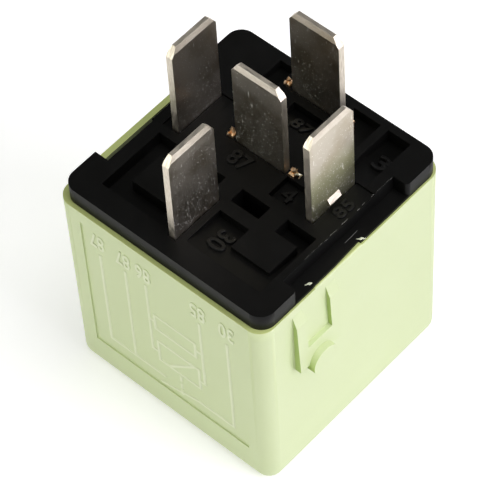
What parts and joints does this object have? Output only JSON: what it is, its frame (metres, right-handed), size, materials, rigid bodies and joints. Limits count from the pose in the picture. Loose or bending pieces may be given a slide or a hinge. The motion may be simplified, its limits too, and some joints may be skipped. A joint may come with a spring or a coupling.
{
  "type": "automotive relay",
  "caption": "Plug-in automotive relay: pale green moulded cover, black base plate, blade terminals, with coil, armature and contacts inside.",
  "frame": {"origin": "centre of the cover's closed end face", "axes": "+Z along the blades, away from the closed end; +X towards the side face with the bracket clip; -Y towards the face with the wiring diagram"},
  "size_m": [0.0284, 0.027, 0.0403],
  "materials": {
    "green_plastic": "pale green nylon, satin mould surface",
    "black_plastic": "black glass-filled nylon, satin",
    "tinned_blade": "tin-plated brass, mottled dull grey",
    "copper_strip": "bare copper, stamped",
    "silver_contact": "silver alloy contact, satin",
    "bright_steel": "spring steel, bright rolled",
    "plated_iron": "zinc-plated soft iron",
    "bobbin_plastic": "natural nylon",
    "magnet_wire": "enamelled copper wire",
    "coil_tape": "polyester coil tape, amber",
    "resistor_enamel": "fired resistor enamel"
  },
  "bodies": {
    "relay_body": {"cover": "green_plastic", "base": "black_plastic", "terminal_30": "tinned_blade", "terminal_85": "tinned_blade", "terminal_86": "tinned_blade", "terminal_87": "tinned_blade", "terminal_87_centre": "tinned_blade", "bridge_87": "copper_strip", "contact_carrier": "copper_strip", "carrier_rivet": "tinned_blade", "fixed_contact": "silver_contact", "hinge_spring": "bright_steel", "yoke": "plated_iron", "yoke_rivets": "plated_iron", "core": "plated_iron", "bobbin": "bobbin_plastic", "winding": "magnet_wire", "coil_tape": "coil_tape", "rest_stop": "bright_steel", "coil_lead_start": "magnet_wire", "coil_lead_end": "magnet_wire", "resistor_body": "resistor_enamel", "resistor_leads": "tinned_blade"},
    "armature_unit": {"armature": "plated_iron", "armature_rivets": "plated_iron", "contact_leaf": "copper_strip", "moving_contact": "silver_contact"}
  },
  "joints": [
    {"name": "armature_hinge", "type": "hinge", "parent": "relay_body", "child": "armature_unit", "pos_m": [0, -0.01045, 0.00515], "axis": [1, 0, 0], "range_deg": [0, 2.8], "stiffness_Nm_per_rad": 0.004, "springref_deg": -7.45}
  ]
}
